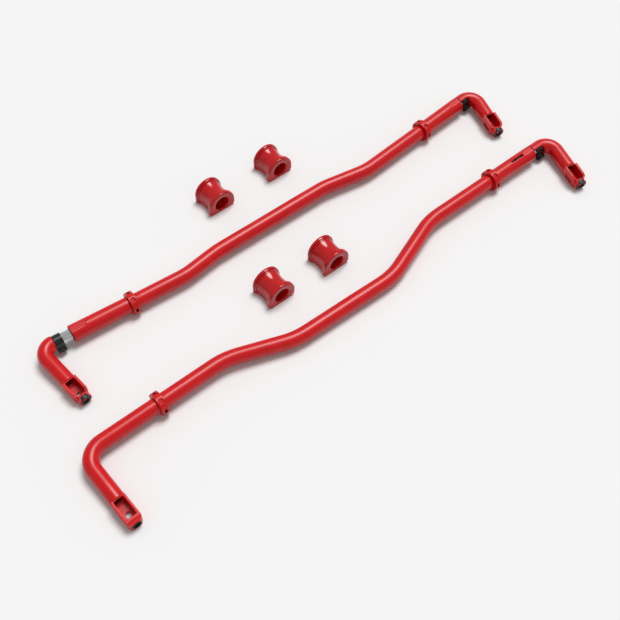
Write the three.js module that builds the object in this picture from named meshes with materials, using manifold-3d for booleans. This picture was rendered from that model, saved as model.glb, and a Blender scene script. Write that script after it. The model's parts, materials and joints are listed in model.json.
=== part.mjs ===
// A pair of adjustable sway bars for one car, laid out flat with their four D-shaped bushings.
// Millimetres, +Z up, bars along X, arms towards -Y. The origin is the centre of the footprint.
// Each bar rests on its two collars and on the tip of its longest arm.
import * as THREE from "three";
import { mergeVertices } from "three/addons/utils/BufferGeometryUtils.js";
import Module from "manifold-3d";

const wasm = await Module();
wasm.setup();

// Driving dimensions
const TUBE_DIAMETER = 26;
const TUBE_RADIUS = TUBE_DIAMETER / 2;
const FIT_GAP = 0.3;
const ROUND_SIDES = 20;
const DEGREE = Math.PI / 180;

const HUMP_BEND_RADIUS = 5 * TUBE_DIAMETER;
const ARM_BEND_RADIUS = 32;
const ELBOW_BEND_RADIUS = 20;
const BEND_STEP_ANGLE = 10 * DEGREE;

const COLLAR_RADIUS = 19;
const COLLAR_WIDTH = 12;
const COLLAR_TILT = 21 * DEGREE;
const LUG_REACH = 19.2;
const LUG_SEAT = 5.5;
const SCREW_OFFSET = 16.1;
const SCREW_RADIUS = 1.5;
const SCREW_HEAD_RADIUS = 2.1;
const SCREW_HEAD_HEIGHT = 2.8;
const SCREW_TIP = -5;
const SCREW_SOCKET_RADIUS = 1.2;
const SCREW_SOCKET_DEPTH = 1.6;
const COLLAR_WINDOW_LENGTH = 7.6;
const COLLAR_WINDOW_WIDTH = 9;
const COLLAR_WINDOW_DEPTH = 1.2;

const SLEEVE_INNER_RADIUS = 13.7;
const SLEEVE_BORE_RADIUS = 10.2;
const SLEEVE_BORE_DEPTH = 78;
const FLAT_LENGTH = 27;
const FLAT_HEIGHT = 13.2;
const WINDOW_LENGTH = 32;
const WINDOW_WIDTH = 5;
const SEAL_RADIUS = 12.6;
const SEAL_DEPTH = 3;

const STUB_CORNER_RADIUS = 9.6;
const STUB_OVERLAP = 62;
const SOCKET_DEPTH = 14;

const CLAMP_LUG_REACH = 20;
const CLAMP_LUG_THICKNESS = 10;
const CLAMP_LUG_LEAN = 55 * DEGREE;
const CLAMP_SPLIT = 1.2;
const CLAMP_SCREW_RADIUS = 1.6;
const CLAMP_SCREW_HEAD_RADIUS = 2.6;
const CLAMP_SCREW_SINK = 1.6;

const HOOD_START = 1.5;
const HOOD_RADIUS = TUBE_RADIUS + 0.6;
const HOOD_INNER_EDGE = 5.5;
const HOOD_CORNER_RADIUS = 3;

const YOKE_TOP = 12;
const YOKE_BOTTOM = -10;
const YOKE_EDGE_CHAMFER = 4;
const YOKE_TIP_WALL = 11;
const TROUGH_START = 2;
const TROUGH_WIDTH = 17;
const TROUGH_FLOOR = -5.5;
const ARM_BORE_RADIUS = 5.8;
const ARM_BORE_DEPTH = 15;
const LINK_HOLE_WIDTH = 9;
const POCKET_DEPTH = 2.5;
const FIXED_YOKE = {
  length: 47,
  halfWidth: 12.5,
  bodyLength: 47,
  cornerRadius: 8,
  slotLength: 13,
  linerOuter: 7,
  linerInner: 6,
};
const ADJUSTABLE_YOKE = {
  length: 42,
  halfWidth: 13,
  bodyLength: 33,
  cornerRadius: 4,
  slotLength: 9,
  linerOuter: 8.6,
  linerInner: 4,
};

const BUSHING_LENGTH = 48;
const BUSHING_HALF_WIDTH = 26.5;
const BUSHING_SHOULDER = 15;
const BUSHING_ROUND_CORNER = 8;
const BUSHING_SHARP_CORNER = 2;
const BUSHING_BORE_HEIGHT = 16.5;
const BUSHING_BORE_RADIUS = TUBE_RADIUS + 0.4;
const BUSHING_MOUTH_RADIUS = BUSHING_BORE_RADIUS + 2.2;
const BUSHING_MOUTH_DEPTH = 2.5;
const FLANGE_THICKNESS = 8.5;
const WAIST_STEP = 2.5;
const WAIST_DEPTH = 7;
const SLIT_WIDTH = 1;

// The collars carry each bar, so the bar's axis runs one collar radius above the surface.
const AXIS_HEIGHT = COLLAR_RADIUS;

// Corners of each bar's centre line in plan, from left to right, before the bends round them off.
// Each bar's own X axis runs along its two collars.
const FRONT_CORNERS = [
  [-496.5, -91],
  [-499, 0],
  [-238, 0],
  [-127, -41],
  [78, -47],
  [208, 0],
  [368, 0],
];
const REAR_CORNERS = [
  [-327.7, 1.5],
  [-220, -6.5],
  [-151, 2],
  [84, 2.5],
  [173, -12.5],
  [328, 1],
];

// The front bar's left collar sits this far from the middle, level with the right one.
const FRONT_COLLAR_REACH = 362;

// Where each bar lies in plan, its heading, and how far its longest arm reaches towards -Y.
const FRONT_PLACE = { x: 0, y: 0, heading: 0, reach: 138 };
const REAR_PLACE = { x: 31.5, y: 177.5, heading: -1.07 * DEGREE, reach: 107 };

const BUSHING_PLACES = [
  ["front_left_bushing", -90, 64],
  ["front_right_bushing", 24, 58],
  ["rear_left_bushing", -46, 290],
  ["rear_right_bushing", 85, 289],
];

// Each adjustable end, measured outwards from its sleeve mouth. The elbow turns towards side * y.
// armReach runs from the elbow's corner to its yoke, and the lock clamp starts at stubGap.
const REAR_LEFT_END = {
  name: "rear_left",
  sleeveLength: 103.3,
  mouthRadius: 14.6,
  cornerReach: 57,
  turn: 101 * DEGREE,
  side: 1,
  armReach: 78,
  stubGap: 16.5,
  clampWidth: 14.5,
  clampRadius: 11.6,
  lugWidth: 14.5,
  hooded: false,
  windowed: false,
};
const REAR_RIGHT_END = {
  name: "rear_right",
  sleeveLength: 95,
  mouthRadius: 14.1,
  cornerReach: 43,
  turn: 111 * DEGREE,
  side: -1,
  armReach: 66,
  stubGap: 7,
  clampWidth: 11,
  clampRadius: 11.3,
  lugWidth: 13,
  hooded: true,
  windowed: false,
};
const FRONT_RIGHT_END = {
  name: "front_right",
  sleeveLength: 98,
  mouthRadius: 14.1,
  cornerReach: 51,
  turn: 107 * DEGREE,
  side: -1,
  armReach: 73,
  stubGap: 9,
  clampWidth: 12,
  clampRadius: 11.3,
  lugWidth: 15,
  hooded: true,
  windowed: true,
};

const RED_PAINT = { color: 0xc8161c, roughness: 0.35, metalness: 0.1 };
const RED_ELASTOMER = { color: 0xc4141a, roughness: 0.3, metalness: 0 };
const BRIGHT_STEEL = { color: 0xb8bcc0, roughness: 0.3, metalness: 1 };
const BLACK_STEEL = { color: 0x1d1f21, roughness: 0.4, metalness: 0.8 };
const BLACK_RUBBER = { color: 0x1a1c1d, roughness: 0.7, metalness: 0 };

const UP = new THREE.Vector3(0, 0, 1);
const kit = new THREE.Group();

// Booleans on closed geometries
function solid(geometry) {
  const bare = geometry.clone();
  bare.deleteAttribute("normal");
  bare.deleteAttribute("uv");
  const merged = mergeVertices(bare, 1e-4);
  return new wasm.Manifold(
    new wasm.Mesh({
      numProp: 3,
      vertProperties: merged.attributes.position.array,
      triVerts: new Uint32Array(merged.index.array),
    }),
  );
}

function geometryOf(body) {
  const mesh = body.getMesh();
  const geometry = new THREE.BufferGeometry();
  geometry.setAttribute("position", new THREE.BufferAttribute(mesh.vertProperties, 3));
  geometry.setIndex(new THREE.BufferAttribute(mesh.triVerts, 1));
  return geometry;
}

function shape(added, removed = []) {
  let body = solid(added[0]);
  for (const piece of added.slice(1)) body = body.add(solid(piece));
  for (const piece of removed) body = body.subtract(solid(piece));
  return geometryOf(body);
}

// Simple closed shapes, all placed by their extents
function rod(radius, x0, x1, endRadius = radius, sides = ROUND_SIDES) {
  return new THREE.CylinderGeometry(endRadius, radius, x1 - x0, sides)
    .rotateZ(-Math.PI / 2)
    .translate((x0 + x1) / 2, 0, 0);
}

function post(radius, x, y, z0, z1, sides = ROUND_SIDES) {
  return new THREE.CylinderGeometry(radius, radius, z1 - z0, sides)
    .rotateX(Math.PI / 2)
    .translate(x, y, (z0 + z1) / 2);
}

function block(x0, x1, y0, y1, z0, z1) {
  return new THREE.BoxGeometry(x1 - x0, y1 - y0, z1 - z0).translate(
    (x0 + x1) / 2,
    (y0 + y1) / 2,
    (z0 + z1) / 2,
  );
}

// A centre line with one station at each end of a straight and a few along each bend
class Route extends THREE.Curve {
  constructor(stations) {
    super();
    this.stations = stations;
  }

  station(t) {
    return this.stations[Math.round(t * (this.stations.length - 1))];
  }

  getPointAt(t) {
    return this.station(t).point.clone();
  }

  getTangentAt(t) {
    return this.station(t).tangent.clone();
  }
}

function roundedRoute(corners, radii) {
  const points = corners.map(([x, y]) => new THREE.Vector3(x, y, 0));
  const heading = (i) => points[i + 1].clone().sub(points[i]).normalize();
  const stations = [{ point: points[0], tangent: heading(0) }];
  for (let i = 1; i < points.length - 1; i++) {
    const before = heading(i - 1);
    const after = heading(i);
    const turn = Math.atan2(before.x * after.y - before.y * after.x, before.dot(after));
    const radius = radii[i - 1];
    const start = points[i].clone().addScaledVector(before, -radius * Math.tan(Math.abs(turn) / 2));
    const inward = new THREE.Vector3(-before.y, before.x, 0).multiplyScalar(Math.sign(turn));
    const centre = start.clone().addScaledVector(inward, radius);
    const steps = Math.ceil(Math.abs(turn) / BEND_STEP_ANGLE);
    for (let k = 0; k <= steps; k++) {
      const angle = (turn * k) / steps;
      const spoke = inward.clone().multiplyScalar(-radius);
      stations.push({
        point: centre.clone().add(spoke.applyAxisAngle(UP, angle)),
        tangent: before.clone().applyAxisAngle(UP, angle),
      });
    }
  }
  stations.push({ point: points.at(-1), tangent: heading(points.length - 2) });
  return new Route(stations);
}

function bentTube(route, radius) {
  const section = new THREE.Shape().absarc(0, 0, radius, 0, 2 * Math.PI);
  return new THREE.ExtrudeGeometry(section, {
    extrudePath: route,
    steps: route.stations.length - 1,
    curveSegments: ROUND_SIDES / 2,
  });
}

// A closed skin over equal rings of points, with flat caps; the rings turn clockwise seen along the skin
function loft(rings) {
  const count = rings[0].length;
  const positions = rings.flat().flatMap((p) => [p.x, p.y, p.z]);
  const index = [];
  for (let r = 0; r < rings.length - 1; r++) {
    for (let k = 0; k < count; k++) {
      const a = r * count + k;
      const b = r * count + ((k + 1) % count);
      index.push(a, b + count, b, a, a + count, b + count);
    }
  }
  const last = (rings.length - 1) * count;
  for (let k = 1; k < count - 1; k++) {
    index.push(0, k, k + 1);
    index.push(last, last + k + 1, last + k);
  }
  const geometry = new THREE.BufferGeometry();
  geometry.setAttribute("position", new THREE.Float32BufferAttribute(positions, 3));
  geometry.setIndex(index);
  return geometry;
}

function addMesh(parent, name, geometry, finish) {
  const mesh = new THREE.Mesh(geometry, new THREE.MeshStandardMaterial(finish));
  mesh.name = name;
  parent.add(mesh);
  return mesh;
}

function frameAt(parent, x, y, z, heading) {
  const frame = new THREE.Group();
  frame.position.set(x, y, z);
  frame.rotation.z = heading;
  parent.add(frame);
  return frame;
}

// Two-piece clamp collar: x along the bar, the halves part along z, the screws run along z
function collarHalf(upper) {
  const half = COLLAR_WIDTH / 2;
  const bore = rod(TUBE_RADIUS + FIT_GAP, -half - 1, half + 1);
  const otherSide = upper ? block(-20, 20, -30, 30, -30, FIT_GAP) : block(-20, 20, -30, 30, -FIT_GAP, 30);
  const removed = [bore, otherSide];
  for (const side of [-1, 1]) {
    const y = side * SCREW_OFFSET;
    const shelf = [side * (SCREW_OFFSET - SCREW_HEAD_RADIUS - 1), side * 30].sort((a, b) => a - b);
    const headSeat = LUG_SEAT - SCREW_HEAD_HEIGHT - FIT_GAP;
    removed.push(block(-20, 20, ...shelf, LUG_SEAT, 30));
    removed.push(post(SCREW_RADIUS + FIT_GAP, 0, y, SCREW_TIP - FIT_GAP, 30, 12));
    removed.push(post(SCREW_HEAD_RADIUS + FIT_GAP, 0, y, headSeat, 30, 12));
  }
  const windowX = COLLAR_WINDOW_LENGTH / 2;
  const windowY = COLLAR_WINDOW_WIDTH / 2;
  removed.push(block(-windowX, windowX, -windowY, windowY, COLLAR_RADIUS - COLLAR_WINDOW_DEPTH, 30));
  const ring = rod(COLLAR_RADIUS, -half, half);
  const lugs = block(-half, half, -LUG_REACH, LUG_REACH, -LUG_SEAT, LUG_SEAT);
  return shape([ring, lugs], removed);
}

function collarScrew() {
  const seat = LUG_SEAT - SCREW_HEAD_HEIGHT;
  const shank = post(SCREW_RADIUS, 0, 0, SCREW_TIP, seat + 1, 12);
  const head = post(SCREW_HEAD_RADIUS, 0, 0, seat, LUG_SEAT - 0.2, 12);
  const hexSocket = post(SCREW_SOCKET_RADIUS, 0, 0, LUG_SEAT - SCREW_SOCKET_DEPTH, LUG_SEAT + 1, 6);
  return shape([shank, head], [hexSocket]);
}

function addCollar(bar, name, x, y, heading) {
  const frame = frameAt(bar, x, y, 0, heading);
  const tilted = new THREE.Group();
  tilted.rotation.x = COLLAR_TILT;
  frame.add(tilted);
  addMesh(tilted, name + "_collar_upper_half", collarHalf(true), RED_PAINT);
  addMesh(tilted, name + "_collar_lower_half", collarHalf(false), RED_PAINT);
  for (const [place, side] of [
    ["front", -1],
    ["rear", 1],
  ]) {
    const screw = addMesh(tilted, name + "_collar_" + place + "_screw", collarScrew(), BLACK_STEEL);
    screw.position.y = side * SCREW_OFFSET;
  }
}

// Sleeve: the mouth is at x = 0 and the body runs to -x
function sleeveBody(end) {
  const body = rod(SLEEVE_INNER_RADIUS, -end.sleeveLength, 0, end.mouthRadius);
  const removed = [
    rod(SLEEVE_BORE_RADIUS, -SLEEVE_BORE_DEPTH, 1),
    rod(SEAL_RADIUS + FIT_GAP, -SEAL_DEPTH, 1),
    block(-FLAT_LENGTH, 1, -20, 20, FLAT_HEIGHT, 30),
    block(-FLAT_LENGTH, 1, -20, 20, -30, -FLAT_HEIGHT),
  ];
  if (end.windowed) {
    const near = -FLAT_LENGTH + 4;
    const far = near - WINDOW_LENGTH;
    removed.push(block(far, near, -WINDOW_WIDTH / 2, WINDOW_WIDTH / 2, 0, 30));
  }
  return shape([body], removed);
}

function mouthSeal() {
  const ring = rod(SEAL_RADIUS, -SEAL_DEPTH + FIT_GAP, 0.6);
  return shape([ring], [rod(STUB_CORNER_RADIUS + FIT_GAP, -10, 10)]);
}

function stubShaft(end) {
  const tail = end.cornerReach - ELBOW_BEND_RADIUS * Math.tan(end.turn / 2);
  return rod(STUB_CORNER_RADIUS, -STUB_OVERLAP, tail + SOCKET_DEPTH - 1, STUB_CORNER_RADIUS, 6).rotateX(
    30 * DEGREE,
  );
}

// Split clamp that pinches the stub: its lug points to -z, and one screw along y closes it
function lockClamp(end) {
  const outer = end.stubGap + end.clampWidth;
  const half = CLAMP_LUG_THICKNESS / 2;
  const ring = rod(end.clampRadius, end.stubGap, outer);
  const lug = block(end.stubGap, end.stubGap + end.lugWidth, -half, half, -CLAMP_LUG_REACH, 0);
  const removed = [
    rod(STUB_CORNER_RADIUS + FIT_GAP, 0, 100),
    block(0, 100, -CLAMP_SPLIT / 2, CLAMP_SPLIT / 2, -30, 0),
    clampCrossRod(end, CLAMP_SCREW_RADIUS + FIT_GAP, -half + 1, half + 1),
    clampCrossRod(end, CLAMP_SCREW_HEAD_RADIUS + FIT_GAP, half - CLAMP_SCREW_SINK, half + 1),
  ];
  return shape([ring, lug], removed);
}

function clampScrew(end) {
  const half = CLAMP_LUG_THICKNESS / 2;
  const seat = half - CLAMP_SCREW_SINK + FIT_GAP;
  const shank = clampCrossRod(end, CLAMP_SCREW_RADIUS, -half + 1 + FIT_GAP, seat + 1);
  const head = clampCrossRod(end, CLAMP_SCREW_HEAD_RADIUS, seat, half + 1.6);
  const hexSocket = clampCrossRod(end, 1.3, half, half + 3, 6);
  return shape([shank, head], [hexSocket]);
}

// A round bar on the clamp screw's axis; its head is on the side that the lug shows upwards
function clampCrossRod(end, radius, y0, y1, sides = 12) {
  const x = end.stubGap + end.clampWidth / 2;
  const y = (end.side * (y0 + y1)) / 2;
  const z = -(end.clampRadius + CLAMP_LUG_REACH) / 2;
  return new THREE.CylinderGeometry(radius, radius, y1 - y0, sides).translate(x, y, z);
}

// Elbow: starts on the stub, bends towards side * y, and ends where its yoke begins
function elbowRoute(end, start) {
  return roundedRoute([[start, 0], [end.cornerReach, 0], armEndOf(end)], [ELBOW_BEND_RADIUS]);
}

function armEndOf(end) {
  return [
    end.cornerReach + Math.cos(end.turn) * end.armReach,
    end.side * Math.sin(end.turn) * end.armReach,
  ];
}

// The blind hole in an arm's end that its yoke's trough runs into
function armBore(x, y, heading) {
  return rod(ARM_BORE_RADIUS, -ARM_BORE_DEPTH, 1, ARM_BORE_RADIUS, 16).rotateZ(heading).translate(x, y, 0);
}

function elbowArm(end) {
  const bendStart = end.cornerReach - ELBOW_BEND_RADIUS * Math.tan(end.turn / 2);
  const clampEnd = end.stubGap + end.clampWidth;
  const socketEnd = Math.max(bendStart, clampEnd) + SOCKET_DEPTH;
  const socket = rod(STUB_CORNER_RADIUS + FIT_GAP, 0, socketEnd);
  const bore = armBore(...armEndOf(end), end.side * end.turn);
  if (!end.hooded) {
    return shape([bentTube(elbowRoute(end, clampEnd + FIT_GAP), TUBE_RADIUS)], [socket, bore]);
  }
  // The hood reaches over the clamp to the sleeve, and opens towards the inside of the bend.
  const cavityEnd = clampEnd + 1;
  const windowEnd = end.stubGap + Math.max(end.clampWidth, end.lugWidth) + 1.5;
  const openFace = [end.side * HOOD_INNER_EDGE, end.side * (CLAMP_LUG_REACH + 1.5)].sort((a, b) => a - b);
  const cuts = [
    socket,
    bore,
    rod(end.clampRadius + FIT_GAP, 0, cavityEnd),
    block(0, windowEnd, ...openFace, -20, 20),
    post(HOOD_CORNER_RADIUS, windowEnd, end.side * (HOOD_INNER_EDGE + HOOD_CORNER_RADIUS), -20, 20),
    lugClearance(end),
  ];
  return shape([bentTube(elbowRoute(end, HOOD_START), HOOD_RADIUS)], cuts);
}

// The slot in the hood that the clamp's lug stands out of
function lugClearance(end) {
  const half = CLAMP_LUG_THICKNESS / 2 + 1;
  const lugEnd = end.stubGap + end.lugWidth + 1;
  return block(0, lugEnd, -half, half, -40, 0).rotateX(end.side * CLAMP_LUG_LEAN);
}

// Yoke: the arm enters at x = 0, the trough opens upwards, the tip is at x = yoke.length.
// A body shorter than the whole length leaves a round boss as the tip.
function yokeBody(yoke, pocketSide) {
  const { length, halfWidth, bodyLength, cornerRadius, slotLength } = yoke;
  const cornerX = bodyLength - cornerRadius;
  const cornerY = halfWidth - cornerRadius;
  const outline = new THREE.Shape()
    .moveTo(FIT_GAP, -halfWidth)
    .lineTo(cornerX, -halfWidth)
    .absarc(cornerX, -cornerY, cornerRadius, -Math.PI / 2, 0)
    .absarc(cornerX, cornerY, cornerRadius, 0, Math.PI / 2)
    .lineTo(FIT_GAP, halfWidth);
  const body = new THREE.ExtrudeGeometry(outline, {
    depth: YOKE_TOP - YOKE_BOTTOM,
    bevelEnabled: false,
    curveSegments: 5,
  }).translate(0, 0, YOKE_BOTTOM);
  const added = bodyLength < length ? [body, rod(-YOKE_BOTTOM, bodyLength - 4, length)] : [body];
  const troughEnd = length - YOKE_TIP_WALL;
  const removed = [
    block(TROUGH_START, troughEnd, -TROUGH_WIDTH / 2, TROUGH_WIDTH / 2, TROUGH_FLOOR, 30),
    rod(ARM_BORE_RADIUS, -1, TROUGH_START + 1, ARM_BORE_RADIUS, 16),
    rod(yoke.linerOuter + FIT_GAP, troughEnd - 1, length + 1),
    bottomChamfer(halfWidth, -1, length + 1),
    bottomChamfer(-halfWidth, -1, length + 1),
    ...linkSlot(troughEnd - 3, slotLength),
  ];
  if (pocketSide) {
    const faces = [pocketSide * (halfWidth - POCKET_DEPTH), pocketSide * 40].sort((a, b) => a - b);
    removed.push(block(9, troughEnd - 3, ...faces, -4, 3));
  }
  return shape(added, removed);
}

// A square bar set on edge that takes a yoke's lower corner off
function bottomChamfer(y, x0, x1) {
  const half = YOKE_EDGE_CHAMFER / Math.SQRT2;
  return block(x0, x1, -half, half, -half, half).rotateX(Math.PI / 4).translate(0, y, YOKE_BOTTOM);
}

// The hole or slot for the link, cut down through the trough's floor and ending at x = end
function linkSlot(end, slotLength) {
  const radius = LINK_HOLE_WIDTH / 2;
  const far = end - radius;
  const near = end - slotLength + radius;
  const pieces = [post(radius, far, 0, -30, 0, 16)];
  if (near < far) {
    pieces.push(post(radius, near, 0, -30, 0, 16));
    pieces.push(block(near, far, -radius, radius, -30, 0));
  }
  return pieces;
}

function yokeLiner(yoke) {
  const start = yoke.length - YOKE_TIP_WALL + FIT_GAP;
  const tube = rod(yoke.linerOuter, start, yoke.length + 0.5);
  return shape([tube], [rod(yoke.linerInner, 0, 100, yoke.linerInner, 16)]);
}

function addYoke(parent, name, yoke, pocketSide) {
  addMesh(parent, name + "_yoke", yokeBody(yoke, pocketSide), RED_PAINT);
  addMesh(parent, name + "_yoke_liner", yokeLiner(yoke), BLACK_RUBBER);
}

// Everything outboard of one collar on an adjustable side
function addAdjustableEnd(bar, end, start) {
  const mouth = frameAt(
    bar,
    start.x + Math.cos(start.heading) * end.sleeveLength,
    start.y + Math.sin(start.heading) * end.sleeveLength,
    0,
    start.heading,
  );
  addMesh(mouth, end.name + "_sleeve", sleeveBody(end), RED_PAINT);
  addMesh(mouth, end.name + "_mouth_seal", mouthSeal(), BLACK_RUBBER);
  addMesh(mouth, end.name + "_stub_shaft", stubShaft(end), BRIGHT_STEEL);
  const lean = end.side * CLAMP_LUG_LEAN;
  addMesh(mouth, end.name + "_lock_clamp", lockClamp(end), BLACK_STEEL).rotation.x = lean;
  addMesh(mouth, end.name + "_clamp_screw", clampScrew(end), BLACK_STEEL).rotation.x = lean;
  addMesh(mouth, end.name + "_elbow_arm", elbowArm(end), RED_PAINT);
  const yokeFrame = frameAt(mouth, ...armEndOf(end), 0, end.side * end.turn);
  addYoke(yokeFrame, end.name, ADJUSTABLE_YOKE, end.hooded ? -1 : 0);
}

function addTube(bar, name, corners, radii, bores) {
  const tube = bentTube(roundedRoute(corners, radii), TUBE_RADIUS);
  addMesh(bar, name, shape([tube], bores), RED_PAINT);
}

// Point and heading at a distance inboard of a bar's end, along its last straight
function alongEnd(corners, fromLeft, distance) {
  const [tip, next] = fromLeft ? [corners[0], corners[1]] : [corners.at(-1), corners.at(-2)];
  const heading = Math.atan2(tip[1] - next[1], tip[0] - next[0]);
  return {
    x: tip[0] - Math.cos(heading) * distance,
    y: tip[1] - Math.sin(heading) * distance,
    heading,
  };
}

function addSleeveEnd(bar, end, corners, fromLeft) {
  addAdjustableEnd(bar, end, alongEnd(corners, fromLeft, -FIT_GAP));
  const collar = alongEnd(corners, fromLeft, COLLAR_WIDTH / 2);
  addCollar(bar, end.name, collar.x, collar.y, collar.heading + (fromLeft ? Math.PI : 0));
}

// D-shaped outline of a bushing section: flat base with one rounded corner, straight sides, round top
function bushingSection(inset) {
  const halfWidth = BUSHING_HALF_WIDTH - inset;
  const points = [];
  const cornerSteps = 4;
  for (let k = 0; k <= cornerSteps; k++) {
    const angle = (Math.PI / 2) * (k / cornerSteps - 1);
    points.push([
      halfWidth + BUSHING_ROUND_CORNER * (Math.cos(angle) - 1),
      BUSHING_ROUND_CORNER * (Math.sin(angle) + 1),
    ]);
  }
  const arcSteps = 10;
  for (let k = 0; k <= arcSteps; k++) {
    const angle = (Math.PI * k) / arcSteps;
    points.push([halfWidth * Math.cos(angle), BUSHING_SHOULDER + halfWidth * Math.sin(angle)]);
  }
  points.push([-halfWidth, BUSHING_SHARP_CORNER], [-halfWidth + BUSHING_SHARP_CORNER, 0]);
  return points;
}

function bushingBody() {
  const half = BUSHING_LENGTH / 2;
  const waistHalf = half - FLANGE_THICKNESS;
  const rimRound = 1.5;
  const stations = [
    [-half, rimRound],
    [-half + rimRound, 0],
    [-waistHalf - rimRound, 0],
    [-waistHalf, WAIST_STEP],
  ];
  const waistSteps = 4;
  for (let k = 1; k < waistSteps; k++) {
    const sag = Math.sin((Math.PI * k) / waistSteps);
    const y = -waistHalf + (2 * waistHalf * k) / waistSteps;
    stations.push([y, WAIST_STEP + (WAIST_DEPTH - WAIST_STEP) * sag]);
  }
  for (const [y, inset] of stations.slice(0, 4).reverse()) stations.push([-y, inset]);
  const rings = stations.map(([y, inset]) => bushingSection(inset).map(([x, z]) => new THREE.Vector3(x, y, z)));
  const alongBore = (geometry) => geometry.rotateZ(Math.PI / 2).translate(0, 0, BUSHING_BORE_HEIGHT);
  const mouthStart = half - BUSHING_MOUTH_DEPTH;
  const removed = [
    alongBore(rod(BUSHING_BORE_RADIUS, -half - 1, half + 1)),
    alongBore(rod(BUSHING_BORE_RADIUS, mouthStart, half + 0.01, BUSHING_MOUTH_RADIUS)),
    alongBore(rod(BUSHING_MOUTH_RADIUS, -half - 0.01, -mouthStart, BUSHING_BORE_RADIUS)),
    block(-SLIT_WIDTH / 2, SLIT_WIDTH / 2, -half - 1, half + 1, -1, BUSHING_BORE_HEIGHT),
  ];
  return shape([loft(rings)], removed);
}

// A bar's frame, rolled forward about its collars until the longest arm's tip meets the surface
function barFrame(place) {
  const tipDistance = Math.hypot(place.reach, YOKE_BOTTOM);
  const roll = Math.asin(AXIS_HEIGHT / tipDistance) - Math.atan2(-YOKE_BOTTOM, place.reach);
  const bar = new THREE.Group();
  bar.rotation.x = roll;
  frameAt(kit, place.x, place.y, AXIS_HEIGHT, place.heading).add(bar);
  return bar;
}

function addFrontBar() {
  const bar = barFrame(FRONT_PLACE);
  const radii = [ARM_BEND_RADIUS, ...Array(4).fill(HUMP_BEND_RADIUS)];
  const armEnd = alongEnd(FRONT_CORNERS, true, 0);
  const bore = armBore(armEnd.x, armEnd.y, armEnd.heading);
  addTube(bar, "front_bar_tube", FRONT_CORNERS, radii, [bore]);
  addYoke(frameAt(bar, armEnd.x, armEnd.y, 0, armEnd.heading), "front_left", FIXED_YOKE, 0);
  addCollar(bar, "front_left", -FRONT_COLLAR_REACH, 0, 0);
  addSleeveEnd(bar, FRONT_RIGHT_END, FRONT_CORNERS, false);
}

function addRearBar() {
  const bar = barFrame(REAR_PLACE);
  addTube(bar, "rear_bar_tube", REAR_CORNERS, Array(4).fill(HUMP_BEND_RADIUS), []);
  addSleeveEnd(bar, REAR_LEFT_END, REAR_CORNERS, true);
  addSleeveEnd(bar, REAR_RIGHT_END, REAR_CORNERS, false);
}

function addBushings() {
  for (const [name, x, y] of BUSHING_PLACES) {
    addMesh(kit, name, bushingBody(), RED_ELASTOMER).position.set(x, y, 0);
  }
}

addFrontBar();
addRearBar();
addBushings();

// Bring the middle of the footprint to the origin.
const footprint = new THREE.Box3().setFromObject(kit).getCenter(new THREE.Vector3());
kit.position.set(-footprint.x, -footprint.y, 0);

export default kit;
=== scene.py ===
# Looks of a pair of adjustable sway bars and their four bushings.
# Meshes are built in millimetres and scaled to metres when they are finished. Angles are in radians.
import json
import math

import bmesh
import bpy
from mathutils import Matrix, Vector


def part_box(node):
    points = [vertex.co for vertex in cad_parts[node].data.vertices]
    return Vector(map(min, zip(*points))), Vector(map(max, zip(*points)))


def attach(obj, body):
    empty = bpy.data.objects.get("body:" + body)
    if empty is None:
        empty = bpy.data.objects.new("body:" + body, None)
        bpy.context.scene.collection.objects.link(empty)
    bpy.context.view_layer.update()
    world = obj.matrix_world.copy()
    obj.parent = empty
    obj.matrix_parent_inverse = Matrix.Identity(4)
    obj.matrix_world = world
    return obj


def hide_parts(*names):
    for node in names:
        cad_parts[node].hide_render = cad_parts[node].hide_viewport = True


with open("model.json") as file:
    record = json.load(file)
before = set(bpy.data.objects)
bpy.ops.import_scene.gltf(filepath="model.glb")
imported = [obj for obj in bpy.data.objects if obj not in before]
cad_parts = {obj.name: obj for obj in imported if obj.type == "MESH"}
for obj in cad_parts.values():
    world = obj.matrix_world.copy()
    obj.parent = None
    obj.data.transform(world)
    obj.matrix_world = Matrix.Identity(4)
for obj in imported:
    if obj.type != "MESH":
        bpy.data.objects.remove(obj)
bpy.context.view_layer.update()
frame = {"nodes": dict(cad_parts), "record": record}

MM = 0.001
MICRON = 0.000001
DEGREE = math.radians(1)
TAU = 2 * math.pi
TINY = 1e-6
HERE = Matrix.Identity(4)
FIT_GAP = 0.3
# How far a cutter runs past what it cuts
CUT = 40

# Bars
TUBE_RADIUS = 13
AXIS_HEIGHT = 19
HUMP_BEND_RADIUS = 130
HUMP_BENDS = 4
ARM_BEND_RADIUS = 32
ELBOW_BEND_RADIUS = 20
ARM_BORE_RADIUS = 5.8
ARM_BORE_DEPTH = 15

# Collars, and the screws that close them
COLLAR_RADIUS = 19
COLLAR_WIDTH = 12
COLLAR_TILT = 21 * DEGREE
COLLAR_WINDOW = {"length": 7.2, "width": 8.4, "corner": 1.2, "depth": 2.2}
LUG_REACH = 19.2
LUG_HALF_HEIGHT = 6.3
LUG_CORNER = 1.5
SIDE_SOCKET_RADIUS = 2.6
SIDE_SOCKET_DEPTH = 1.6
SCREW_OFFSET = 16.1
SCREW_PLAY = 0.4
COLLAR_SCREW = {"shank": 1.5, "head": 2.1, "tip": -5, "seat": 2.7, "top": 5.3, "socket": 1.2}

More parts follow.
